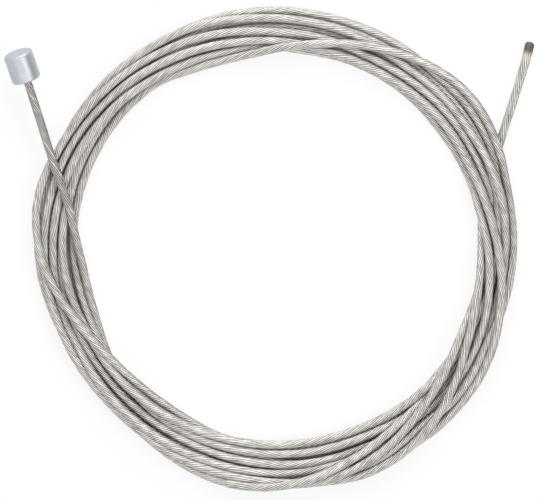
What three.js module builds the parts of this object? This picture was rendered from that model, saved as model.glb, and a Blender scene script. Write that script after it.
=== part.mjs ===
// Shift cable: a stranded steel inner cable with a cast cylindrical head, lying in a flat coil.
// Units are millimetres. +Z is up, and the coil lies on the plane Z = 0.
import * as THREE from "three";

// Cable and head
const cableDiameter = 1.2;
const headDiameter = 4.5;
const headLength = 4.5;
const headCrownRadius = 0.5;
const headNeckRadius = 0.28;
const headSides = 56;
const crownSteps = 7;
const neckSteps = 5;
const neckClearance = 0.3;
const cableSides = 8;
const stepInDiameters = 2;

// Coil: ten turns, six on the floor and four seated in the grooves above them
const coilInnerRadius = 30.15;
const floorTurns = 6;
const seatedTurns = 4;
const coilSides = 96;

// Where a turn's round side shows on the coil's outline, in degrees round the turn's own section.
// Below these angles the grooves between neighbouring turns are filled.
const floorContact = -90;
const outerGroove = 45;
const innerGroove = 60;
const seatUndercut = -10;
const crestEdge = 40;
const turnSteps = 6;

// Leaning of the sprung end that carries the head
const headTiltDegrees = 18;

// The lead comes down on the turns here, inside the coil's edge, and lies this far above them.
const landingDegrees = 172.5;
const landingInset = 1.475;
const landingGap = 0.3;

// The tail leaves the coil here, clear of its edge.
const leavingDegrees = 26.4;
const leavingGap = 0.12;

// The lead's route from the head to the landing, chosen by hand and seen from above.
// Each point is measured from the landing. The first is where the cable enters the head.
const leadRoute = [
  [-6.87, 21.35, 2.21],
  [-6.3, 19.64, 1.66],
  [-5.7, 17.84, 1.17],
  [-5.1, 15.99, 0.76],
  [-4.53, 14.1, 0.43],
  [-3.95, 12.09, 0.18],
  [-3.42, 10.25, 0.05],
  [-2.78, 8.4, 0],
  [-1.93, 6.16, 0],
  [-1.07, 3.75, 0],
  [-0.42, 1.7, 0],
  [0, 0, 0],
];

// The tail's route from the coil's edge to the fused tip, measured from where it leaves the edge.
// Its heights are those above a cable that lies on the floor.
const tailRoute = [
  [0, 0, 0.4],
  [0.89, 2.62, 0.26],
  [1.83, 5.31, 0.14],
  [2.68, 7.93, 0.06],
  [3.5, 10.7, 0.02],
  [4.21, 13.24, 0.02],
  [4.53, 14.6, 0.02],
];

const castZinc = new THREE.MeshStandardMaterial({
  name: "cast_zinc",
  color: 0xb9bdc2,
  roughness: 0.42,
  metalness: 0.9,
});
const strandedSteel = new THREE.MeshStandardMaterial({
  name: "stranded_steel",
  color: 0xaba69f,
  roughness: 0.38,
  metalness: 0.95,
});

const cableRadius = cableDiameter / 2;

// The two rows of turns: their heights and the radii of the first and last of them
const floorHeight = cableRadius;
const seatedHeight = floorHeight + (cableDiameter * Math.sqrt(3)) / 2;
const innermost = coilInnerRadius + cableRadius;
const outermost = innermost + (floorTurns - 1) * cableDiameter;
const firstSeat = outermost - cableRadius;
const coilHeight = seatedHeight + cableRadius;
const coilOuterRadius = outermost + cableRadius;

// Points of an arc in a lathe profile, from one angle to another in degrees.
function arc(centreX, centreY, radius, fromDegrees, toDegrees, steps) {
  const points = [];
  for (let i = 0; i <= steps; i += 1) {
    const angle = THREE.MathUtils.degToRad(fromDegrees + ((toDegrees - fromDegrees) * i) / steps);
    points.push(new THREE.Vector2(centreX + radius * Math.cos(angle), centreY + radius * Math.sin(angle)));
  }
  return points;
}

// The head is one casting round the cable's end: a short cylinder with a broad round at the crown
// and a small one at the neck, where its flat face bears in the shifter.
function makeHead() {
  const radius = headDiameter / 2;
  const profile = [
    new THREE.Vector2(0, 0),
    ...arc(radius - headNeckRadius, headNeckRadius, headNeckRadius, -90, 0, neckSteps),
    ...arc(radius - headCrownRadius, headLength - headCrownRadius, headCrownRadius, 0, 90, crownSteps),
    new THREE.Vector2(0, headLength),
  ];
  const head = new THREE.Mesh(new THREE.LatheGeometry(profile, headSides), castZinc);
  head.name = "end_head";
  return head;
}

// A route's points about the coil's centre, from its own start on the coil.
function placeRoute(route, radius, degrees, height) {
  const angle = THREE.MathUtils.degToRad(degrees);
  const start = new THREE.Vector3(radius * Math.cos(angle), radius * Math.sin(angle), height);
  return route.map((offset) => new THREE.Vector3(...offset).add(start));
}

const landingHeight = coilHeight + cableRadius + landingGap;
const leadPoints = placeRoute(leadRoute, innermost + landingInset, landingDegrees, landingHeight);
const tailStart = coilOuterRadius + cableRadius + leavingGap;
const tailPoints = placeRoute(tailRoute, tailStart, leavingDegrees, floorHeight);

// The way the cable points where it enters the head, and so the head's axis.
function headAxis() {
  const [enter, next] = leadPoints;
  const run = new THREE.Vector2(enter.x - next.x, enter.y - next.y).normalize();
  const tilt = THREE.MathUtils.degToRad(headTiltDegrees);
  return new THREE.Vector3(run.x * Math.cos(tilt), run.y * Math.cos(tilt), Math.sin(tilt));
}

function placeHead(head) {
  head.position.copy(leadPoints[0]);
  head.quaternion.setFromUnitVectors(new THREE.Vector3(0, 1, 0), headAxis());
}

// A plain round cable along a smooth curve through the route's points.
function makeCable(name, points) {
  const curve = new THREE.CatmullRomCurve3(points, false, "centripetal");
  const section = new THREE.Shape();
  section.absarc(0, 0, cableRadius, 0, 2 * Math.PI, false);
  const steps = Math.ceil(curve.getLength() / (stepInDiameters * cableDiameter));
  const geometry = new THREE.ExtrudeGeometry(section, {
    steps,
    bevelEnabled: false,
    curveSegments: cableSides / 2,
    extrudePath: curve,
  });
  const cable = new THREE.Mesh(geometry, strandedSteel);
  cable.name = name;
  return cable;
}

function makeLead() {
  const [enter, ...rest] = leadPoints;
  const start = enter.clone().addScaledVector(headAxis(), -neckClearance);
  return makeCable("cable_lead", [start, ...rest]);
}

// The coil's outer shape: a ring whose section follows the packed turns, flat where it lies.
// Each row's turns touch, and the upper row sits in the grooves of the lower one.
function makeCoil() {
  const profile = [new THREE.Vector2(innermost, 0)];
  profile.push(...arc(outermost, floorHeight, cableRadius, floorContact, outerGroove, turnSteps));
  for (let turn = 0; turn < seatedTurns; turn += 1) {
    const from = turn === 0 ? seatUndercut : crestEdge;
    const to = 180 - (turn === seatedTurns - 1 ? seatUndercut : crestEdge);
    profile.push(...arc(firstSeat - turn * cableDiameter, seatedHeight, cableRadius, from, to, turnSteps));
  }
  profile.push(...arc(innermost, floorHeight, cableRadius, innerGroove, 180 - floorContact, turnSteps));
  const coil = new THREE.Mesh(new THREE.LatheGeometry(profile, coilSides), strandedSteel);
  coil.name = "cable_coil";
  coil.rotation.x = Math.PI / 2;
  return coil;
}

const cable = new THREE.Group();
const head = makeHead();
placeHead(head);
cable.add(head, makeLead(), makeCoil(), makeCable("cable_tail", tailPoints));

// The part's origin is the middle of its footprint, on the surface that it lies on.
const footprint = new THREE.Box3().setFromObject(cable, true);
const middle = footprint.getCenter(new THREE.Vector3());
cable.position.set(-middle.x, -middle.y, -footprint.min.z);

const part = new THREE.Group();
part.add(cable);

export default part;
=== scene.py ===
# %% [markdown]
# # A shift cable, coiled
# The object is a bicycle's inner shift cable: 1.2 mm of stranded steel with a cast zinc head on one end
# and a fused tip on the other. It lies as it comes out of the packet, wound into a coil of nearly ten
# turns that cross and nest in each other. The script works in millimetres, and MM turns them into the
# metres of a Blender mesh.

# %% The CAD model as the frame
import math
import bmesh
import bpy
import numpy as np
from mathutils import Matrix, Vector


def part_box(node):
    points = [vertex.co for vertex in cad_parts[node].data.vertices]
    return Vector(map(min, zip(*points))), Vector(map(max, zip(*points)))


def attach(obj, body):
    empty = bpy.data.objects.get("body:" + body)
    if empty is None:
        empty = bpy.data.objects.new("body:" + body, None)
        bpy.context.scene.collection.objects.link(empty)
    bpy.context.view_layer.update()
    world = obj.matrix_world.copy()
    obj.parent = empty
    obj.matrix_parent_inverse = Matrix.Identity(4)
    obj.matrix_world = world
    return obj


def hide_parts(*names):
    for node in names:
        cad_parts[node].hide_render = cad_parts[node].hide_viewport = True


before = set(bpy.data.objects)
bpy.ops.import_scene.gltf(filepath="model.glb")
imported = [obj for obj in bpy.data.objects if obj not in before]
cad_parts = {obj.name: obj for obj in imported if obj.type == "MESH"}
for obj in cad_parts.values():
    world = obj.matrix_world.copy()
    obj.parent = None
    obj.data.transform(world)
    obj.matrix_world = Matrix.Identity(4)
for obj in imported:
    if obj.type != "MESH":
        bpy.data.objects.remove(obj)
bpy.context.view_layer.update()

MM = 0.001
coil_low, coil_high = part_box("cable_coil")
coil_middle = np.array([(coil_low[axis] + coil_high[axis]) / 2 / MM for axis in (0, 1)] + [0])
print("coil's middle in mm", coil_middle.round(3))

# %% [markdown]
# ## Camera
# The coil can't stand up, so it lies and the camera looks straight down on it. A long lens from far
# away keeps the turns at the far side as wide as the near ones. A short lens would lean them outwards.

# %% Camera
VIEW_WIDTH = 83.3
LENS = 300
SENSOR = 36
VIEW_MIDDLE = (-1.463, -0.57)
TURNS_HEIGHT = 2

camera_data = bpy.data.cameras.new("camera")
camera_data.lens = LENS
camera_data.sensor_width = SENSOR
camera_data.clip_start = 0.01
camera_data.clip_end = 10
camera = bpy.data.objects.new("camera", camera_data)
bpy.context.scene.collection.objects.link(camera)
camera.location = (
    (coil_middle[0] + VIEW_MIDDLE[0]) * MM,
    (coil_middle[1] + VIEW_MIDDLE[1]) * MM,
    (VIEW_WIDTH * LENS / SENSOR + TURNS_HEIGHT) * MM,
)
bpy.context.scene.camera = camera
print("camera height in mm", round(camera.location.z / MM))

# %% [markdown]
# ## Route of the cable
# A coil could be drawn as ten equal circles, but a real one shows how it was wound: turns wander from
# the inner edge to the outer one, dive under their neighbours and come up again. So the route is followed
# turn by turn. Each station is an angle round the coil in degrees, a distance from its middle, and a
# level: 0 lies on the table, 1 sits in the groove between two turns of level 0, and so on.

# %% Stations of the route
CABLE = 1.2
RADIUS = CABLE / 2
LEVEL = 1.04

TURNS = [
    (0, [
        (176, 31.72, 2.7), (180, 31.11, 2), (185, 30.57, 1.5), (190, 30.34, 1), (196, 30.34, 1),
        (201, 30.41, 1), (205, 30.72, 0.7), (209, 31.11, 0.3), (213, 31.42, 0), (220, 31.88, 0),
        (235, 32.34, 0), (250, 32.57, 0), (258, 32.73, 0), (266, 32.96, 0), (274, 33.49, 0),
        (281, 34.34, 0), (288, 35.42, 0), (295, 36.5, 0), (303, 36.81, 0.3), (308, 36.99, 0.8),
        (313, 36.99, 1.2), (318, 36.96, 1.4), (323, 36.9, 1.5), (327, 36.81, 1.6), (331, 36.53, 1.8),
        (335, 36.19, 2), (338, 35.88, 2.2), (341, 35.54, 2.4), (344, 35.2, 2.5), (348, 34.8, 2.5),
        (352, 34.39, 2.5), (356, 33.96, 2.5), (360, 33.46, 2.5),
    ]),
    (1, [
        (4, 33.08, 2.4), (8, 32.73, 2.3), (12, 32.39, 2.2), (16, 32.11, 2), (20, 31.88, 1.9),
        (25, 31.69, 1.8), (31, 31.65, 1.6), (38, 31.57, 1.4), (44, 31.37, 1.2), (50, 31.11, 1),
        (56, 30.92, 1), (63, 30.85, 1), (70, 30.88, 1), (76, 30.95, 0.9), (80, 31.11, 0.8),
        (84, 31.34, 0.8), (88, 31.54, 1), (93, 31.75, 1.3), (98, 31.95, 1.4), (103, 32.23, 1.5),
        (108, 32.54, 1.5), (114, 32.96, 1.5), (120, 33.37, 1.5), (126, 33.8, 1.5), (132, 34.19, 1.5),
        (138, 34.59, 1.5), (145, 35.07, 1.5), (153, 35.57, 1.5),
    ]),
    (1, [
        (160, 35.93, 1.4), (166, 36.16, 1.4), (172, 36.31, 1.3), (177, 36.39, 1.2), (182, 36.39, 0.9),
        (186, 36.31, 0.8), (190, 36.19, 0.9), (196, 36.07, 1), (203, 35.96, 1), (211, 35.85, 1),
        (220, 35.7, 0.9), (230, 35.65, 0.8), (238, 35.73, 0.8), (245, 35.96, 0.8), (252, 36.13, 1),
        (260, 36.22, 1), (267, 36.34, 0.9), (273, 36.54, 1), (279, 36.65, 1.1), (284, 36.47, 1.4),
        (289, 36.08, 1.7), (293, 35.7, 2), (297, 35.24, 2.2), (301, 34.7, 2.4), (305, 34, 2.5),
        (309, 33.45, 2.5), (313, 32.96, 2.4), (317, 32.49, 2.2), (321, 32.03, 1.9), (325, 31.62, 1.6),
        (329, 31.26, 1.3), (333, 31.02, 0.9), (337, 30.95, 0.5), (342, 31.08, 0.2), (348, 31.26, 0),
        (354, 31.72, 0.3), (360, 32.26, 0.6),
    ]),
    (2, [
        (8, 32.49, 1), (16, 32.49, 1.1), (26, 32.34, 0.7), (36, 32.11, 0.2), (50, 31.88, 0),
        (70, 31.88, 0), (85, 32.11, 0), (100, 32.65, 0), (108, 33.03, 0), (118, 33.03, 0),
        (130, 33.11, 0), (140, 33.03, 0), (153, 32.88, 0),
    ]),
    (2, [
        (165, 32.96, 0), (175, 33.42, 0.2), (182, 33.88, 0.4), (188, 34.03, 0.6), (195, 34.03, 0.8),
        (203, 33.73, 1), (210, 33.57, 1), (222, 33.42, 1), (245, 33.34, 1), (260, 33.49, 1),
        (270, 33.65, 1), (280, 33.73, 1), (290, 33.57, 0.9), (300, 33.65, 0.5), (312, 34.03, 0.5),
        (322, 34.19, 0.8), (330, 34.03, 1), (336, 33.73, 1), (341, 33.49, 1), (346, 33.03, 1),
        (351, 32.65, 1), (360, 32.03, 1),
    ]),
    (3, [
        (5, 31.65, 1), (10, 31.42, 1), (16, 31.18, 1), (22, 30.95, 1), (28, 30.8, 0.9),
        (36, 30.57, 0.7), (45, 30.65, 0.2), (60, 30.8, 0), (80, 30.8, 0), (95, 30.95, 0.2),
        (104, 31.11, 0.5), (110, 31.34, 0.8), (120, 31.88, 1.2), (130, 32.57, 1.3), (140, 33.26, 1.3),
        (150, 33.8, 1.3), (153, 34.03, 1.2),
    ]),
    (3, [
        (162, 34.5, 1.2), (172, 34.88, 1), (180, 34.96, 1), (188, 34.96, 1), (192, 34.96, 1),
        (200, 34.96, 1), (210, 34.88, 1), (250, 34.88, 1), (265, 35.03, 1), (275, 34.96, 1),
        (285, 34.8, 0.5), (300, 34.8, 0), (320, 34.8, 0), (340, 34.65, 0), (350, 34.5, 0.5),
        (360, 34.65, 1),
    ]),
    (4, [
        (12, 34.8, 1), (20, 34.65, 1), (30, 34.19, 1), (40, 34.11, 1), (50, 33.88, 1), (56, 33.73, 0.8),
        (66, 34.19, 0.8), (72, 34.5, 1), (80, 34.8, 1.2), (86, 34.96, 1.4), (95, 35.27, 1.5),
        (105, 35.88, 1.6), (112, 36.34, 1.5), (120, 36.5, 1.2), (130, 36.65, 1), (140, 36.88, 0.8),
        (153, 37.01, 0.4),
    ]),
    (4, [
        (166, 37.11, 0.3), (174, 37.34, 0), (180, 37.34, 0), (186, 36.96, 0), (192, 36.42, 0),
        (205, 35.57, 0), (220, 35.42, 0), (235, 35.65, 0), (243, 36.5, 0.6), (249, 36.96, 1),
        (256, 37.34, 1.2), (260, 37.42, 1.4), (264, 37.27, 1.6), (268, 37.04, 1.9), (272, 36.73, 2.1),
        (275, 36.42, 2.3), (278, 36.04, 2.4), (281, 35.65, 2.4), (284, 35.27, 2.4), (287, 34.8, 2.3),
        (290, 34.5, 2.2), (293, 34.11, 2.1), (296, 33.73, 2), (299, 33.34, 1.9), (302, 33.03, 1.8),
        (305, 32.8, 1.6), (309, 32.49, 1.2), (314, 32.19, 0.8), (320, 32.26, 0.5), (326, 32.49, 0.2),
        (340, 32.96, 0.2), (352, 33.11, 0.5), (360, 33.31, 0.7),
    ]),
    (5, [
        (5, 33.49, 0.7), (10, 33.49, 1), (15, 33.39, 1.2), (20, 33.26, 1.2), (25, 33.16, 1.1),
        (30, 33.03, 1), (36, 32.96, 1), (42, 32.85, 1), (48, 32.62, 1), (54, 32.42, 1), (60, 32.29, 1),
        (66, 32.26, 0.8), (70, 32.34, 0.6), (75, 32.57, 0.8), (80, 32.8, 1), (85, 32.89, 1.3),
        (90, 33, 1.5), (95, 33.29, 1.6), (100, 33.62, 1.7), (105, 34.03, 1.7), (110, 34.39, 1.7),
        (115, 34.68, 1.7), (120, 34.96, 1.7), (125, 35.3, 1.7), (130, 35.62, 1.7), (135, 35.93, 1.7),
        (140, 36.22, 1.7), (145, 36.5, 1.7), (150, 36.81, 1.7), (153, 36.96, 1.7),
    ]),
    (5, [
        (158, 37.27, 1.6), (162, 37.73, 1.6), (166, 38.04, 1.6), (170, 38.04, 1.7), (174, 37.81, 2),
        (178, 37.42, 2.3), (181, 37.01, 2.5), (184, 36.5, 2.6), (187, 35.96, 2.7), (190, 35.34, 2.7),
        (193, 34.73, 2.7), (196, 34.14, 2.7), (199, 33.57, 2.6), (202, 33.03, 2.5), (205, 32.49, 2.4),
        (208, 32.03, 2.3), (211, 31.62, 2.1), (214, 31.26, 2), (217, 30.95, 1.8), (221, 30.65, 1.5),
        (226, 30.37, 1.2), (231, 30.21, 1), (236, 30.18, 0.8), (241, 30.26, 0.5), (246, 30.49, 0.2),
        (252, 30.8, 0), (260, 31.11, 0), (275, 31.34, 0), (290, 31.42, 0), (305, 31.57, 0),
        (320, 31.72, 0), (335, 31.95, 0), (350, 32.26, 0), (360, 32.57, 0.3),
    ]),
    (6, [
        (8, 32.8, 0.6), (16, 32.96, 1), (26, 32.96, 0.7), (34, 33.03, 0.4), (42, 33.16, 0.3),
        (50, 33.34, 0.5), (57, 33.45, 0.6), (63, 33.49, 0.5), (70, 33.57, 0.4), (77, 33.73, 0.6),
        (84, 33.88, 0.8), (91, 34.03, 0.8), (98, 34.11, 0.6), (108, 34.11, 0.4), (120, 33.96, 0.6),
        (132, 33.65, 0.9), (142, 33.34, 1), (153, 33.26, 1),
    ]),
    (6, [
        (160, 33.34, 1), (168, 33.45, 1), (176, 33.51, 1), (183, 33.46, 1), (189, 33.31, 1),
        (194, 33.08, 1), (198, 32.8, 1), (202, 32.54, 0.9), (206, 32.31, 1), (210, 32.16, 1.3),
        (215, 32.08, 1.6), (220, 32, 1.6), (225, 31.83, 1.4), (230, 31.65, 1.2), (236, 31.42, 1),
        (242, 31.18, 1), (249, 30.94, 1), (257, 30.77, 1), (266, 30.65, 1), (276, 30.55, 1),
        (286, 30.54, 1), (294, 30.63, 1), (301, 30.85, 1), (307, 31.08, 1), (313, 31.34, 1),
        (319, 31.65, 1), (327, 32.03, 1), (335, 32.34, 1), (345, 32.8, 1), (360, 33.57, 1),
    ]),
    (7, [
        (8, 33.73, 1), (16, 34.03, 1), (26, 34.5, 0.7), (36, 34.8, 0.2), (42, 34.96, 0), (60, 34.96, 0),
        (90, 35.11, 0), (110, 35.27, 0), (120, 35.27, 0), (133, 35.11, 0), (146, 34.88, 0),
        (153, 34.8, 0),
    ]),
    (7, [
        (166, 34.73, 0), (180, 34.8, 0), (192, 34.34, 0), (205, 33.73, 0), (220, 33.11, 0),
        (230, 33.26, 0), (241, 33.88, 0), (253, 34.8, 0), (266, 35.73, 0), (278, 36.34, 0.1),
        (286, 36.5, 0.4), (292, 36.34, 0.9), (297, 36.04, 1.1), (302, 35.65, 1.1), (307, 35.19, 1),
        (312, 35.34, 0.8), (317, 35.73, 0.7), (322, 35.77, 1), (326, 35.65, 1), (330, 35.47, 1),
        (335, 35.19, 1), (339, 35.27, 0.8), (343, 35.42, 0.7), (347, 35.65, 0.7), (351, 35.8, 0.9),
        (356, 35.88, 1), (360, 35.93, 1),
    ]),
    (8, [
        (5, 35.96, 1), (10, 36.04, 1), (15, 36.11, 1.2), (20, 36.34, 1.5), (25, 36.88, 1.5),
        (30, 37.27, 1.2), (35, 37.42, 1), (40, 37.27, 1.2), (44, 36.96, 1.5), (48, 36.42, 2),
        (51, 36.04, 2.2), (55, 35.42, 2.5), (59, 34.8, 2.5), (62, 34.27, 2.5), (65, 33.8, 2.5),
        (68, 33.34, 2.5), (71, 32.96, 2.5), (74, 32.49, 2.5), (77, 32.03, 2.3), (80, 31.65, 2.2),
        (83, 31.26, 2), (87, 30.88, 1.8), (91, 30.49, 1.4), (96, 30.03, 1), (102, 29.88, 0.8),
        (107, 29.92, 0.6), (112, 30.18, 0.5), (117, 30.49, 0.4), (121, 30.95, 0.2), (125, 31.49, 0),
        (130, 31.8, 0.2), (136, 31.88, 0.6), (143, 31.95, 0.8), (153, 32, 0.8),
    ]),
    (8, [
        (160, 32.03, 0.8), (168, 31.99, 0.8), (173, 32.03, 0.8), (178, 32.03, 0.6), (184, 31.88, 0.8),
        (190, 31.72, 1), (196, 31.57, 1), (201, 31.49, 1), (206, 31.42, 1), (211, 31.42, 1),
        (217, 31.57, 1), (225, 31.88, 0.9), (234, 32.11, 0.9), (241, 32.19, 0.9), (248, 32.11, 1),
        (256, 32.03, 1), (290, 32.03, 1), (296, 32.11, 1), (301, 32.26, 0.7), (306, 32.42, 0.3),
        (312, 32.65, 0), (318, 32.96, 0), (325, 33.42, 0), (332, 33.88, 0), (340, 34.27, 0),
        (350, 34.57, 0), (360, 34.8, 0.2),
    ]),
    (9, [
        (8, 34.96, 0.6), (15, 35.27, 1), (22, 35.8, 1.1), (30, 36.04, 1.1), (36, 36.19, 1),
        (40, 36.11, 1), (46, 35.73, 0.9), (50, 35.73, 0.9), (60, 35.96, 1), (65, 36.04, 1.2),
        (75, 36.04, 1.2), (85, 36.19, 1), (95, 36.34, 0.8), (105, 36.5, 0.5), (120, 36.42, 0),
        (130, 36.34, 0), (140, 36.19, 0), (153, 35.96, 0),
    ]),
    (9, [
        (166, 35.88, 0), (180, 36.04, 0), (192, 35.42, 0), (205, 34.73, 0), (220, 34.27, 0),
        (232, 34.65, 0), (245, 35.42, 0), (255, 36.04, 0), (266, 36.5, 0.1), (275, 36.65, 0.3),
        (280, 36.81, 0.5), (283, 37.04, 0.8), (286, 37.27, 1), (290, 37.42, 1), (294, 37.42, 1),
        (298, 37.27, 1.2), (301, 37.04, 1.5), (304, 36.81, 1.8), (307, 36.34, 2), (311, 35.88, 2.3),
        (314, 35.42, 2.5), (316, 35.11, 2.5), (319, 34.57, 2.5), (322, 34.11, 2.5), (325, 33.65, 2.4),
        (328, 33.11, 2.2), (330, 32.65, 2), (334, 32.26, 1.8), (338, 31.88, 1.5), (342, 31.57, 1.3),
        (346, 31.34, 1), (350, 31.11, 0.8), (355, 31.11, 0.6), (360, 31.03, 0.4),
    ]),
    (10, [
        (5, 31.15, 0.2), (9, 31.49, 0), (13, 32.19, 0), (16, 33.11, 0), (19.7, 34.65, 0),
        (22.5, 36.04, 0),
    ]),
]

# Stretches that other turns cover: turn, first degree, last degree. Their place is a guess.
COVERED = [
    (0, 222, 292), (1, 349, 360), (2, 0, 180), (2, 297, 308), (3, 45, 95), (3, 285, 348),
    (4, 180, 240), (4, 318, 345), (5, 310, 360), (6, 0, 38), (6, 323, 360), (7, 0, 235),
    (8, 314, 360), (9, 0, 12), (9, 118, 270), (10, 0, 6),
]
print(sum(len(stations) for turn, stations in TURNS), "stations")

# %% [markdown]
# The two free ends follow the same points as the CAD model's tubes, each measured from where it meets
# the coil. The head's end springs up off the turns, and the other end comes out from under them.

# %% The free ends
LANDING = (32.225, 172.5, 3.1392)
LEAD = [
    (-6.87, 21.35, 2.21), (-6.3, 19.64, 1.66), (-5.7, 17.84, 1.17), (-5.1, 15.99, 0.76),
    (-4.53, 14.1, 0.43), (-3.95, 12.09, 0.18), (-3.42, 10.25, 0.05), (-2.78, 8.4, 0),
    (-1.93, 6.16, 0), (-1.07, 3.75, 0), (-0.42, 1.7, 0), (0, 0, 0),
]
LEAVING = (38.07, 26.4, 0.6)
TAIL = [
    (0, 0, 0.4), (0.89, 2.62, 0.26), (1.83, 5.31, 0.14), (2.68, 7.93, 0.06),
    (3.5, 10.7, 0.02), (4.21, 13.24, 0.02), (4.53, 14.6, 0.02),
]


def free_end(offsets, start):
    """A free end's points about the coil's middle."""
    away, turned, height = start
    angle = math.radians(turned)
    return np.array(offsets) + (away * math.cos(angle), away * math.sin(angle), height)


def round_the_coil(points):
    """Degrees, distance and height of points about the coil's middle."""
    turned = np.degrees(np.arctan2(points[:, 1], points[:, 0])) % 360
    return turned, np.hypot(points[:, 0], points[:, 1]), points[:, 2]


lead_points = free_end(LEAD, LANDING)
tail_points = free_end(TAIL, LEAVING)
print("head's end at", lead_points[0].round(2), "tip at", tail_points[-1].round(2))

# %% [markdown]
# ## Settling the turns
# The stations say where each turn shows, not how high it must ride to clear the ones below it. A rigid
# body simulation of two metres of wire would take long and drift off the route. Here the cable is cut
# into one short piece per degree, which makes every contact a pair of circles in one upright plane. In
# small steps the pieces sink, are drawn to their stations, are evened out as stiff wire is, and are
# pushed a diameter apart. Which of two crossing turns lies on top stays as the stations say.

# %% One point for each degree
lead_degrees, lead_distance, lead_height = round_the_coil(lead_points)
tail_degrees, tail_distance, tail_height = round_the_coil(tail_points)
tail_degrees = tail_degrees + 10 * 360
stations = np.array([
    (turn * 360 + turned, away, RADIUS + level * LEVEL)
    for turn, rows in TURNS
    for turned, away, level in rows
])
degrees = np.arange(math.ceil(lead_degrees[0]), math.floor(tail_degrees[-1]) + 1)
known_degrees = np.concatenate([lead_degrees, stations[:, 0], tail_degrees])
known_distance = np.concatenate([lead_distance, stations[:, 1], tail_distance])
known_height = np.concatenate([lead_height, stations[:, 2], tail_height])


def evened(values, spread):
    """The values with a bell-shaped average over that many steps."""
    reach = int(4 * spread)
    bell = np.exp(-0.5 * (np.arange(-reach, reach + 1) / spread) ** 2)
    padded = np.pad(values, reach, mode="reflect", reflect_type="odd")
    return np.convolve(padded, bell / bell.sum(), mode="valid")


set_distance = evened(np.interp(degrees, known_degrees, known_distance), 1.8)
set_height = evened(np.interp(degrees, known_degrees, known_height), 2.5)
free = (degrees > 168) & (degrees < 3627)
seen = np.ones(len(degrees))
for turn, start, end in COVERED:
    seen[(degrees >= turn * 360 + start) & (degrees <= turn * 360 + end)] = 0
seen = np.clip(evened(seen, 3), 0, 1)
print(len(degrees), "points, heights", set_height.min().round(2), "to", set_height.max().round(2))

# %% Pairs of points that could touch, and which of them lies on top
first, second, on_top = [], [], []
for turns_apart in range(1, len(degrees) // 360 + 1):
    here = np.arange(len(degrees) - 360 * turns_apart)
    there = here + 360 * turns_apart
    beside = set_distance[here] - set_distance[there]
    above = set_height[here] - set_height[there]
    order = np.zeros(len(here))
    changes = np.flatnonzero(np.diff(np.concatenate([[0], np.abs(beside) < 0.75 * CABLE, [0]])))
    for start, end in zip(changes[::2], changes[1::2]):
        weight = (CABLE - np.abs(beside[start:end])) ** 2
        order[start:end] = 1 if (above[start:end] * weight).sum() >= 0 else -1
    first.append(here)
    second.append(there)
    on_top.append(order)
first, second, on_top = (np.concatenate(parts) for parts in (first, second, on_top))
print(len(first), "pairs,", int((on_top != 0).sum()), "of them over or under each other")

# %% How a pair is pushed apart
MAX_PUSH = 0.1


def leaning(distance):
    """How much narrower the space between two turns is where they run aslant, for each pair."""
    slope = np.gradient(evened(distance, 1.5)) / (math.radians(1) * distance)
    slope = np.clip(slope, -0.8, 0.8)
    return np.cos(np.arctan((slope[first] + slope[second]) / 2))


def push_apart(distance, height, lean):
    """Moves the points of each pair that is closer than a diameter, half of the way each."""
    beside = (distance[first] - distance[second]) * lean
    above = height[first] - height[second]
    between = np.maximum(np.hypot(beside, above), 1e-6)
    overlap = np.maximum(CABLE - between, 0)
    lift = np.sqrt(np.maximum(CABLE**2 - beside**2, 0)) - on_top * above
    crossing = (on_top != 0) & (np.abs(beside) < CABLE)
    crossing &= (on_top * above < 0.35 * CABLE) | (np.abs(beside) < 0.4 * CABLE)
    up = np.where(crossing, np.maximum(lift, 0) * on_top, overlap * above / between)
    out = np.where(crossing, 0, overlap * beside / between)
    moves = free.astype(float)
    share = np.maximum(moves[first] + moves[second], 1e-9)
    touching = ((overlap > 0) | (crossing & (lift > 0))).astype(float)
    count = len(distance)
    contacts = np.bincount(first, touching, count) + np.bincount(second, touching, count)
    contacts = np.maximum(np.sqrt(contacts), 1)
    for values, push in ((distance, out), (height, up)):
        pushed = np.bincount(first, push * moves[first] / share, count)
        pushed -= np.bincount(second, push * moves[second] / share, count)
        values += np.clip(pushed / contacts, -MAX_PUSH, MAX_PUSH)
    np.maximum(height, RADIUS, out=height)


print("one push moves a point by", MAX_PUSH, "mm at most")

# %% The settling
STEPS = 900
SINK = 0.006
PULL_SEEN = 0.2
PULL_COVERED = 0.01
STIFF_SIDEWAYS = 0.3
STIFF_UPRIGHT = 0.4

pull = PULL_SEEN * seen + PULL_COVERED * (1 - seen)
distance = set_distance.copy()
height = set_height.copy()
for step in range(STEPS):
    lean = leaning(distance)
    sink = SINK * (0.3 if step > 0.85 * STEPS else 1)
    distance += free * (set_distance - distance) * pull
    height -= free * sink
    stiff = set_distance + evened(distance - set_distance, 2)
    stiff = (1 - STIFF_SIDEWAYS) * distance + STIFF_SIDEWAYS * stiff
    distance = np.where(free, stiff, set_distance)
    stiff = (1 - STIFF_UPRIGHT) * height + STIFF_UPRIGHT * evened(height, 2)
    height = np.where(free, stiff, set_height)
    for _ in range(3):
        push_apart(distance, height, lean)

beside = (distance[first] - distance[second]) * leaning(distance)
between = np.hypot(beside, height[first] - height[second])
print("deepest overlap in mm", (CABLE - between.min()).round(2), "in", (between < 1.1).sum(), "pairs")
print("highest turn's middle in mm", height[40:].max().round(2))

# %% [markdown]
# ## The line of the cable
# The settled points are joined to the head's own axis and read off again at even steps, so that the
# wires wound round the line keep an even lay. The line starts inside the head, where the casting
# grips the wire, and ends at the fused tip.

# %% The line
GRIP = 1.2
RING_STEP = 0.8
HEAD_TILT = 18

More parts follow.
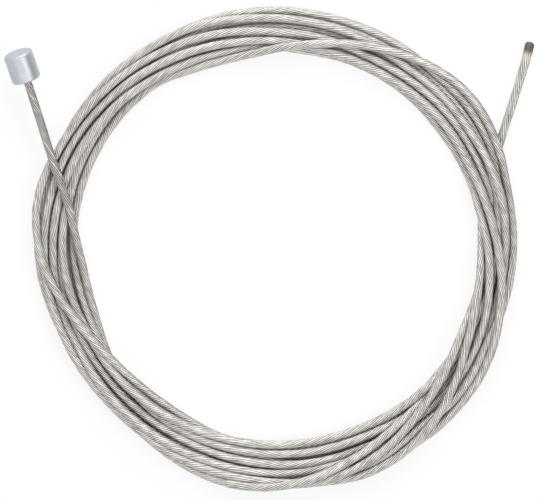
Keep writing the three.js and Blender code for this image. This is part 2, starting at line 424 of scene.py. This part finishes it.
head_run = (lead_points[0] - lead_points[1])[:2]
head_run = head_run / np.hypot(*head_run)
tilt = math.radians(HEAD_TILT)
head_axis = np.array([*(head_run * math.cos(tilt)), math.sin(tilt)])
angles = np.radians(degrees)
coil_line = np.stack([distance * np.cos(angles), distance * np.sin(angles), height], axis=1)
line = np.concatenate([
    [lead_points[0] + head_axis * GRIP, lead_points[0] + head_axis * 0.3],
    lead_points[lead_degrees < 149.5],
    coil_line[(degrees > 150) & (degrees < 3630)],
    tail_points[tail_degrees > 3631],
])


def run_along(points):
    """The length along a line of points, up to each of them."""
    return np.concatenate([[0], np.cumsum(np.linalg.norm(np.diff(points, axis=0), axis=1))])


def read_off(points, at, run):
    """The points at certain lengths along a line."""
    return np.stack([np.interp(at, run, points[:, axis]) for axis in range(3)], axis=1)


run = run_along(line)
fine = read_off(line, np.linspace(0, run[-1], int(run[-1] / 0.3)), run)
fine = np.stack([evened(fine[:, axis], 3) for axis in range(3)], axis=1)
run = run_along(fine)
line_length = run[-1]
ring_run = np.linspace(0, line_length, int(round(line_length / RING_STEP)) + 1)
line = read_off(fine, ring_run, run)

# %% [markdown]
# ## The strand
# Shift cable is nineteen wires twisted into one strand, of which twelve show. They climb to the left
# when the cable is held upright. A curve with a round bevel would be a smooth hose, and nineteen separate
# tubes would be millions of faces. One tube whose section has twelve lobes, turned a little at
# each ring, gives the wires' real relief and their slanting lines with three faces to a wire.

# %% The strand's section
WIRES = 12
SIDES = 3 * WIRES
LAY = 11
WIRE_RADIUS = 0.125
PROUD = 0.06
GROOVE = 0.565
UNEVEN = 0.02
RUN_UNIT = 100


def strand_radius(around):
    """Distance of the strand's surface from its middle. around goes from 0 to 1 over the wires."""
    lean = (np.mod(around * WIRES, 1) - 0.5) * 2 * math.pi / WIRES
    middle = RADIUS + PROUD - WIRE_RADIUS
    inside = np.maximum(WIRE_RADIUS**2 - (middle * np.sin(lean)) ** 2, 0)
    return np.maximum(middle * np.cos(lean) + np.sqrt(inside), GROOVE)


corner_radii = strand_radius(np.arange(SIDES) / SIDES)
print("section from", corner_radii.min().round(3), "to", corner_radii.max().round(3), "mm")

# %% [markdown]
# Near the cut tip the wires have opened: the strand gets a little wider and its lay longer. The last
# millimetres are melted together, so the grooves fade and the end is a dome.

# %% Rings along the strand
FUSED = 1.7
FUSED_RADIUS = 0.63
MELTED = 0.5
DOME = 0.5
OPENED = 0.17
OPENED_OVER = 4
LONGER_LAY = 0.6
LONGER_OVER = 9

dome = np.radians([0, 30, 55, 75, 90])
kept = ring_run < line_length - DOME - 0.25
rings = np.concatenate([[0], ring_run[kept], line_length - DOME + DOME * np.sin(dome)])
from_tip = np.maximum(line_length - rings, 0)
width = np.concatenate([[0], np.ones(kept.sum()), np.cos(dome)])
width[-1] = 0
opened = 1 + OPENED * np.exp(-from_tip / OPENED_OVER)
melted = MELTED * np.clip((FUSED - from_tip) / 1.2, 0, 1)
lay = LAY * (1 + LONGER_LAY * np.exp(-from_tip / LONGER_OVER))
twist = np.cumsum(np.diff(rings, prepend=0) / lay)
print(len(rings), "rings of", SIDES, "sides,", 2 * len(rings) * SIDES, "triangles")

# %% [markdown]
# A grid rolled up along the line makes the tube, and its corners come with a UV map: u counts
# round the wires and v runs along the cable. That map is kept for the finish. Each wire also stands
# proud or low by a few hundredths of a millimetre here and there, as hand-coiled strand does.

# %% The grid rolled up


def flat_grid(name, across, along, uv_name=None):
    """A flat grid as a mesh, with the column and the row of each corner."""
    shape = bmesh.new()
    if uv_name:
        shape.loops.layers.uv.new(uv_name)
    bmesh.ops.create_grid(shape, x_segments=across, y_segments=along, size=1, calc_uvs=bool(uv_name))
    mesh = bpy.data.meshes.new(name)
    shape.to_mesh(mesh)
    shape.free()
    places = np.empty(len(mesh.vertices) * 3)
    mesh.vertices.foreach_get("co", places)
    places = (places.reshape(-1, 3) + 1) / 2
    column = np.rint(places[:, 0] * across).astype(int)
    row = np.rint(places[:, 1] * along).astype(int)
    return mesh, column, row


cable_mesh, column, row = flat_grid("cable", SIDES, len(rings) - 1, "run")
centres = read_off(line, rings, ring_run)
ahead = read_off(np.stack([np.gradient(line[:, axis]) for axis in range(3)], axis=1), rings, ring_run)
ahead /= np.linalg.norm(ahead, axis=1)[:, None]
upward = np.array([0, 0, 1]) - ahead * ahead[:, 2:3]
upward /= np.linalg.norm(upward, axis=1)[:, None]
sideways = np.cross(ahead, upward)

chance = np.random.default_rng(12).normal(size=(WIRES, len(rings) + 40))
uneven = UNEVEN * np.stack([evened(wire, 1.2)[20:-20] for wire in chance])
around = column / SIDES
section = (strand_radius(around) + uneven[(column // 3) % WIRES, row]) * (1 - melted[row])
section = (section + FUSED_RADIUS * melted[row]) * (width * opened)[row]
centres[:, 2] += PROUD + RADIUS * (opened - 1)
turned = 2 * np.pi * (around - twist[row])
surface = np.cos(turned)[:, None] * upward[row] + np.sin(turned)[:, None] * sideways[row]
surface = centres[row] + section[:, None] * surface + coil_middle
cable_mesh.vertices.foreach_set("co", (surface * MM).ravel())

corner_uvs = np.empty(len(cable_mesh.loops) * 2)
cable_mesh.uv_layers["run"].data.foreach_get("uv", corner_uvs)
corner_uvs = corner_uvs.reshape(-1, 2)
corner_rows = np.rint(corner_uvs[:, 1] * (len(rings) - 1)).astype(int)
corner_uvs[:, 1] = rings[corner_rows] / RUN_UNIT
cable_mesh.uv_layers["run"].data.foreach_set("uv", corner_uvs.ravel())
print("surface from", surface.min(axis=0).round(2), "to", surface.max(axis=0).round(2))

# %% [markdown]
# The rolled grid still has an open seam, and a ring of corners at each end that all lie on one point.
# Merging them closes the tube. The lines between two wires are marked sharp, so that they shade as
# grooves and not as gentle waves.

# %% Seam, ends and grooves
shape = bmesh.new()
shape.from_mesh(cable_mesh)
on_line = (column % 3 == 0) & (from_tip[row] > 0.7)
for edge in shape.edges:
    edge.smooth = not all(on_line[corner.index] for corner in edge.verts)
for face in shape.faces:
    face.smooth = True
bmesh.ops.remove_doubles(shape, verts=shape.verts[:], dist=0.002 * MM)
bmesh.ops.recalc_face_normals(shape, faces=shape.faces[:])
open_edges = sum(1 for edge in shape.edges if not edge.is_manifold)
volume = shape.calc_volume(signed=True) / MM**3
shape.to_mesh(cable_mesh)
shape.free()
cable = bpy.data.objects.new("cable", cable_mesh)
bpy.context.scene.collection.objects.link(cable)
print("open edges", open_edges, "volume in mm3", round(volume), "faces", len(cable_mesh.polygons))

# %% [markdown]
# ## Writing materials as sums
# A material is a graph of nodes, but its maths reads better as a line of Python. Value wraps a number
# somewhere in the graph, and a sum written with it adds its Math nodes. Finish makes every other node.

# %% Value and Finish


class Value:
    """A number or colour in a finish. Sums written with it become Math nodes."""

    def __init__(self, finish, socket):
        self.finish = finish
        self.socket = socket

    def maths(self, operation, *values):
        return self.finish.node("ShaderNodeMath", {"operation": operation}, dict(enumerate(values)))

    def __add__(self, other):
        return self.maths("ADD", self, other)

    def __sub__(self, other):
        return self.maths("SUBTRACT", self, other)

    def __rsub__(self, other):
        return self.maths("SUBTRACT", other, self)

    def __mul__(self, other):
        return self.maths("MULTIPLY", self, other)

    __radd__ = __add__
    __rmul__ = __mul__

    def fraction(self):
        return self.maths("FRACT", self)

    def whole(self):
        return self.maths("FLOOR", self)

    def unsigned(self):
        return self.maths("ABSOLUTE", self)

    def larger(self, other):
        return self.maths("MAXIMUM", self, other)

    def ramp(self, low, high):
        """From 0 at low to 1 at high, with soft ends."""
        settings = {"interpolation_type": "SMOOTHSTEP"}
        ends = {"Value": self, "From Min": low, "From Max": high}
        return self.finish.node("ShaderNodeMapRange", settings, ends)


class Finish:
    """A material's or a world's nodes."""

    def __init__(self, owner):
        self.owner = owner
        owner.use_nodes = True
        self.tree = owner.node_tree
        self.tree.nodes.clear()

    def node(self, kind, settings=None, values=None, output=0):
        node = self.tree.nodes.new(kind)
        for name, setting in (settings or {}).items():
            setattr(node, name, setting)
        for name, value in (values or {}).items():
            if isinstance(value, Value):
                self.tree.links.new(value.socket, node.inputs[name])
            else:
                node.inputs[name].default_value = value
        return Value(self, node.outputs[output])

    def blend(self, share, first, second):
        """A colour between two colours."""
        return self.node("ShaderNodeMix", {"data_type": "RGBA"}, {0: share, 6: first, 7: second}, 2)

    def noise(self, place, scale, detail=2):
        return self.node("ShaderNodeTexNoise", {}, {"Vector": place, "Scale": scale, "Detail": detail})

    def show(self, kind, surface):
        """Ends the graph at the material's or the world's output."""
        end = self.tree.nodes.new(kind)
        self.tree.links.new(surface.socket, end.inputs["Surface"])
        return self.owner


print("Value and Finish are ready")

# %% [markdown]
# ## Stranded steel
# The cable is plain drawn stainless steel. What the eye takes for its texture is the dark line between
# two wires, so the finish paints shade into the grooves by the strand's own UV map, whose u counts round
# the twelve wires. Each wire has its own tone, and drawing lines run along it. On the stretch below the
# head the streaks along the wires are painted stronger, as painted highlights and shade, and the painted
# groove shade is deeper. The far end was cut hot: the last two millimetres are fused dark, with a
# straw-coloured band where the heat ran up the strand.

# %% The steel's wires and strokes
steel = Finish(bpy.data.materials.new("stranded_steel"))
run_map = steel.node("ShaderNodeUVMap", {"uv_map": "run"})
around_u = steel.node("ShaderNodeSeparateXYZ", {}, {"Vector": run_map}, "X")
along_mm = steel.node("ShaderNodeSeparateXYZ", {}, {"Vector": run_map}, "Y") * RUN_UNIT
place = steel.node("ShaderNodeTexCoord", {}, {}, "Object")

wire_count = around_u * WIRES
from_crest = (wire_count.fraction() - 0.5).unsigned() * 2
# Where the painted groove shade lies: the outer part of each wire's width, up to the line between two
# wires.
in_groove = from_crest.ramp(0.4, 0.95)
wire_shade = steel.node("ShaderNodeTexWhiteNoise", {"noise_dimensions": "1D"}, {"W": wire_count.whole()})
lines_at = steel.node("ShaderNodeCombineXYZ", {}, {"X": around_u * 90, "Y": along_mm * 0.12})
drawn = steel.noise(lines_at, 1.0)
strokes_at = steel.node("ShaderNodeCombineXYZ", {}, {"X": around_u * WIRES, "Y": along_mm * 0.55})
strokes = steel.noise(strokes_at, 1.0, 1)
handled = steel.noise(place, 160, 3)
# The stretch below the head, where the wire streaks and the groove shade are painted stronger.
painted_below_head = 1 - along_mm.ramp(20, 34)
heated = along_mm.ramp(line_length - 4.4, line_length - 2.4)
fused = along_mm.ramp(line_length - 2.4, line_length - 1.2)
print("patterns take", len(steel.tree.nodes), "nodes")

# %% The steel's colours
STEEL = (0.80, 0.775, 0.74, 1)
STEEL_DULL = (0.50, 0.478, 0.45, 1)
# Painted shade for the grooves between two wires.
GROOVE_SHADE = (0.07, 0.065, 0.06, 1)
STRAW = (0.76, 0.69, 0.58, 1)
BURNT = (0.075, 0.071, 0.068, 1)

dull = wire_shade * 0.2 + drawn * 0.3 + handled * 0.4 + strokes * 1.9 - 0.95
# Below the head the streaks are painted stronger, as painted highlights and shade along the wires.
dull = (dull + painted_below_head * (strokes * 2.2 + wire_shade * 0.8 - 0.95)).ramp(0, 1)
colour = steel.blend(dull, STEEL, STEEL_DULL)
# Painted shade in the grooves between the wires, varied along them by the streaks and deeper below the
# head.
groove_shade = strokes * 0.9 + 0.5 + painted_below_head * (strokes * 1.4 + wire_shade * 0.5 - 0.55)
colour = steel.blend(in_groove * groove_shade, colour, GROOVE_SHADE)
colour = steel.blend(heated * 0.5, colour, STRAW)
colour = steel.blend(fused * 0.85, colour, BURNT)
surface_node = steel.node(
    "ShaderNodeBsdfPrincipled",
    {},
    {"Base Color": colour, "Roughness": drawn * 0.12 + fused * 0.15 + 0.38, "Metallic": 0.9},
)
cable_mesh.materials.append(steel.show("ShaderNodeOutputMaterial", surface_node))
print("steel has", len(steel.tree.nodes), "nodes")

# %% [markdown]
# ## The head
# The head is a small cylinder of zinc cast round the wire's end. It sits in the shifter and pulls the
# cable. The far end is well rounded, the end that the cable leaves has a small round, and a hairline
# runs down two sides where the mould's halves met. A cylinder with two bevelled rims is the plain way.

# %% A cylinder with rounded rims
HEAD_RADIUS = 2.25
HEAD_LENGTH = 4.5
CROWN_ROUND = 0.45
NECK_ROUND = 0.28

shape = bmesh.new()
bmesh.ops.create_cone(
    shape, cap_ends=True, segments=96,
    radius1=HEAD_RADIUS * MM, radius2=HEAD_RADIUS * MM, depth=HEAD_LENGTH * MM,
)
for end_sign, rim_round in ((1, CROWN_ROUND), (-1, NECK_ROUND)):
    end_height = end_sign * HEAD_LENGTH / 2 * MM
    rim = [
        edge for edge in shape.edges
        if all(abs(vert.co.z - end_height) < 1e-7 for vert in edge.verts)
    ]
    bmesh.ops.bevel(
        shape, geom=rim, offset=rim_round * MM, offset_type="OFFSET", segments=8,
        profile=0.5, affect="EDGES", material=-1,
    )
caps = [face for face in shape.faces if len(face.verts) > 4]
bmesh.ops.inset_individual(shape, faces=caps, thickness=0.05 * MM)
print("caps", len(caps), "faces", len(shape.faces))

# %% [markdown]
# The mould line is a row of corners on each side, pushed out by a fiftieth of a millimetre. Then the
# cylinder is turned to the cable's direction and set down with its neck where the cable comes out.

# %% The mould line, and the head put on the cable
MOULD_LINE = 0.02
MOULD_TURN = 25

for vert in shape.verts:
    if abs(vert.co.y) < 0.02 * MM and abs(vert.co.x) > 1.2 * MM:
        vert.co.x += math.copysign(MOULD_LINE * MM, vert.co.x)
for face in shape.faces:
    face.smooth = True
bmesh.ops.recalc_face_normals(shape, faces=shape.faces[:])

neck = Vector(((lead_points[0] + coil_middle) * MM).tolist())
axis = Vector(head_axis.tolist())
turn = Matrix.Rotation(math.radians(MOULD_TURN), 4, "Z")
tilted = axis.to_track_quat("Z", "Y").to_matrix().to_4x4()
shape.transform(Matrix.Translation(neck + axis * HEAD_LENGTH / 2 * MM) @ tilted @ turn)
head_mesh = bpy.data.meshes.new("head")
shape.to_mesh(head_mesh)
shape.free()
head = bpy.data.objects.new("head", head_mesh)
bpy.context.scene.collection.objects.link(head)
print("neck in mm", [round(value / MM, 3) for value in neck])

# %% [markdown]
# Cast zinc is satin and slightly blue beside the warm steel. It is finely speckled where it cooled
# against the mould, and a little uneven to the touch. A fine noise gives the speckle and a coarser
# one the unevenness, both on Object coordinates so that no unwrapping is needed.

# %% The head's finish
ZINC = (0.63, 0.66, 0.71, 1)
ZINC_DULL = (0.42, 0.445, 0.48, 1)

zinc = Finish(bpy.data.materials.new("cast_zinc"))
place = zinc.node("ShaderNodeTexCoord", {}, {}, "Object")
speckle = zinc.noise(place, 5200, 2)
patches = zinc.noise(place, 900, 3)
dull = (speckle * 0.9 + patches * 0.6 - 0.45).ramp(0.1, 0.75)
colour = zinc.blend(dull, ZINC, ZINC_DULL)
relief = zinc.node(
    "ShaderNodeBump", {}, {"Strength": 0.35, "Distance": 0.00003, "Height": speckle * 0.5 + patches}
)
surface_node = zinc.node(
    "ShaderNodeBsdfPrincipled",
    {},
    {"Base Color": colour, "Roughness": patches * 0.1 + 0.4, "Metallic": 0.6, "Normal": relief},
)
head_mesh.materials.append(zinc.show("ShaderNodeOutputMaterial", surface_node))
print("zinc has", len(zinc.tree.nodes), "nodes")

# %% [markdown]
# ## Floor
# The floor is pale and has the coil's shadow on it. Seen by the camera or in a reflection it is nearly
# white, by a share of white light that only those rays see. The share grows further out, where the
# lamps light it less and no shadow falls. Right under the coil the floor is plain, because a gap
# between two turns looks dark on the real thing. The strip follows the coil's own edges, degree by
# degree, so the floor is a grid rolled into rings.

# %% A floor in rings
STRIP_INSET = 0.25
FLOOR_RADIUS = 900

wound = (degrees >= 176) & (degrees <= 3618)
whole_degree = np.mod(degrees[wound], 360)
strip_inner = np.array([distance[wound][whole_degree == angle].min() for angle in range(360)])
strip_outer = np.array([distance[wound][whole_degree == angle].max() for angle in range(360)])
strip_inner += STRIP_INSET - RADIUS
strip_outer += RADIUS - STRIP_INSET
floor_mesh, column, row = flat_grid("floor", 360, 4)
ring_radii = np.stack([
    np.zeros(360), strip_inner, strip_outer, np.full(360, 80), np.full(360, FLOOR_RADIUS),
])
reach = ring_radii[row, column % 360]
angle = np.radians(column)
places = np.stack([reach * np.cos(angle), reach * np.sin(angle), np.zeros(len(reach))], axis=1)
floor_mesh.vertices.foreach_set("co", ((places + coil_middle) * MM).ravel())
in_strip = [min(row[corner] for corner in face.vertices) == 1 for face in floor_mesh.polygons]
floor_mesh.polygons.foreach_set("material_index", [int(inside) for inside in in_strip])
shape = bmesh.new()
shape.from_mesh(floor_mesh)
bmesh.ops.remove_doubles(shape, verts=shape.verts[:], dist=0.001 * MM)
bmesh.ops.recalc_face_normals(shape, faces=shape.faces[:])
if shape.faces[0].normal.z < 0:
    bmesh.ops.reverse_faces(shape, faces=shape.faces[:])
shape.to_mesh(floor_mesh)
shape.free()
floor = bpy.data.objects.new("floor", floor_mesh)
bpy.context.scene.collection.objects.link(floor)
print("strip from", strip_inner.min().round(2), "to", strip_outer.max().round(2), "mm")

# %% [markdown]
# Both finishes are the same matt grey. The wide one mixes it with white for the rays that are seen,
# and leaves it alone for the light that bounces, so the white doesn't light the coil from below.

# %% The floor's two finishes
PALE = (0.8, 0.8, 0.8, 1)
WHITE = (1, 1, 1, 1)
WHITE_SHARE = 0.72
FAR_SHARE = 0.87
WHITE_LEVEL = 1.15
SHARE_GROWS_FROM = 0.06
SHARE_GROWS_TO = 0.16


def seen_ray(finish):
    """1 for rays of the camera, a reflection or glass."""
    camera_ray = finish.node("ShaderNodeLightPath", {}, {}, "Is Camera Ray")
    glossy_ray = finish.node("ShaderNodeLightPath", {}, {}, "Is Glossy Ray")
    clear_ray = finish.node("ShaderNodeLightPath", {}, {}, "Is Transmission Ray")
    return camera_ray.larger(glossy_ray).larger(clear_ray)


table_top = Finish(bpy.data.materials.new("table_top"))
place = table_top.node("ShaderNodeTexCoord", {}, {}, "Object")
away = table_top.node("ShaderNodeVectorMath", {"operation": "LENGTH"}, {0: place}, "Value")
share = away.ramp(SHARE_GROWS_FROM, SHARE_GROWS_TO) * (FAR_SHARE - WHITE_SHARE) + WHITE_SHARE
pale = table_top.node("ShaderNodeBsdfDiffuse", {}, {"Color": PALE})
white = table_top.node("ShaderNodeEmission", {}, {"Color": WHITE, "Strength": WHITE_LEVEL})
mixed = table_top.node("ShaderNodeMixShader", {}, {0: seen_ray(table_top) * share, 1: pale, 2: white})
floor_mesh.materials.append(table_top.show("ShaderNodeOutputMaterial", mixed))

under = Finish(bpy.data.materials.new("table_under_coil"))
pale = under.node("ShaderNodeBsdfDiffuse", {}, {"Color": PALE})
floor_mesh.materials.append(under.show("ShaderNodeOutputMaterial", pale))
print("floor slots", [slot.name for slot in floor_mesh.materials])

# %% [markdown]
# ## Light
# The real coil was lit from the top of the picture. There the outer sides of the turns are bright, and
# at the bottom the inner ones. So one large soft lamp hangs low on that side, a weaker one opposite
# keeps the shaded sides open, a small one lights the right side, and a plain pale world does the rest.
# A metal head in an all-white room looks flat, so a dark card stands at the right, out of the camera's
# sight, and darkens that side of it.

# %% Lamps
KEY_POWER = 1.6
FILL_POWER = 0.35
SIDE_POWER = 0.5


def soft_lamp(name, place, size, power):
    """A square lamp that looks at the coil. Its place and size are in metres."""
    lamp_data = bpy.data.lights.new(name, "AREA")
    lamp_data.shape = "SQUARE"
    lamp_data.size = size
    lamp_data.energy = power
    lamp = bpy.data.objects.new(name, lamp_data)
    lamp.location = place
    lamp.rotation_mode = "QUATERNION"
    lamp.rotation_quaternion = (-Vector(place)).to_track_quat("-Z", "Y")
    bpy.context.scene.collection.objects.link(lamp)
    return lamp


key = soft_lamp("key", (0.04, 0.42, 0.34), 0.5, KEY_POWER)
fill = soft_lamp("fill", (-0.1, -0.4, 0.5), 0.4, FILL_POWER)
side = soft_lamp("side", (0.3, -0.14, 0.39), 0.2, SIDE_POWER)
print("lamps", key.name, fill.name, side.name)

# %% [markdown]
# The card is 200 mm high and half a metre long. The world is dim for the light that falls on the coil and
# white for the rays that are seen, by the same switch as the floor.

# %% Dark card and world
SKY = 0.35
CARD_HALF_SIZES = (0.1, 0.25, 1, 1)
CARD_PLACE = (0.3, 0.05, 0.1)
CARD_BLACK = (0.02, 0.02, 0.02, 1)

card_mesh, _, _ = flat_grid("dark_card", 1, 1)
card_mesh.transform(Matrix.Diagonal(CARD_HALF_SIZES))
card_mesh.transform(Matrix.Rotation(math.radians(90), 4, "Y"))
card_mesh.transform(Matrix.Translation(CARD_PLACE))
card = bpy.data.objects.new("dark_card", card_mesh)
card.visible_camera = False
bpy.context.scene.collection.objects.link(card)
black = Finish(bpy.data.materials.new("black_card"))
card_paint = black.node("ShaderNodeBsdfDiffuse", {}, {"Color": CARD_BLACK})
card_mesh.materials.append(black.show("ShaderNodeOutputMaterial", card_paint))

world = bpy.data.worlds.new("studio")
bpy.context.scene.world = world
sky = Finish(world)
sky_light = sky.node(
    "ShaderNodeBackground", {}, {"Color": WHITE, "Strength": seen_ray(sky) * (1 - SKY) + SKY}
)
sky.show("ShaderNodeOutputWorld", sky_light)
bpy.context.scene.view_settings.view_transform = "Standard"
print("world has", len(sky.tree.nodes), "nodes")

# %% [markdown]
# ## Handing over to the frame
# The cable and the head stand for the CAD's plain tubes and cylinder, which are hidden; both hang from
# the root body.

# %% What each piece stands for
for piece in (cable, head):
    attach(piece, "root")
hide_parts("cable_lead", "cable_coil", "cable_tail")
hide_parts("end_head")
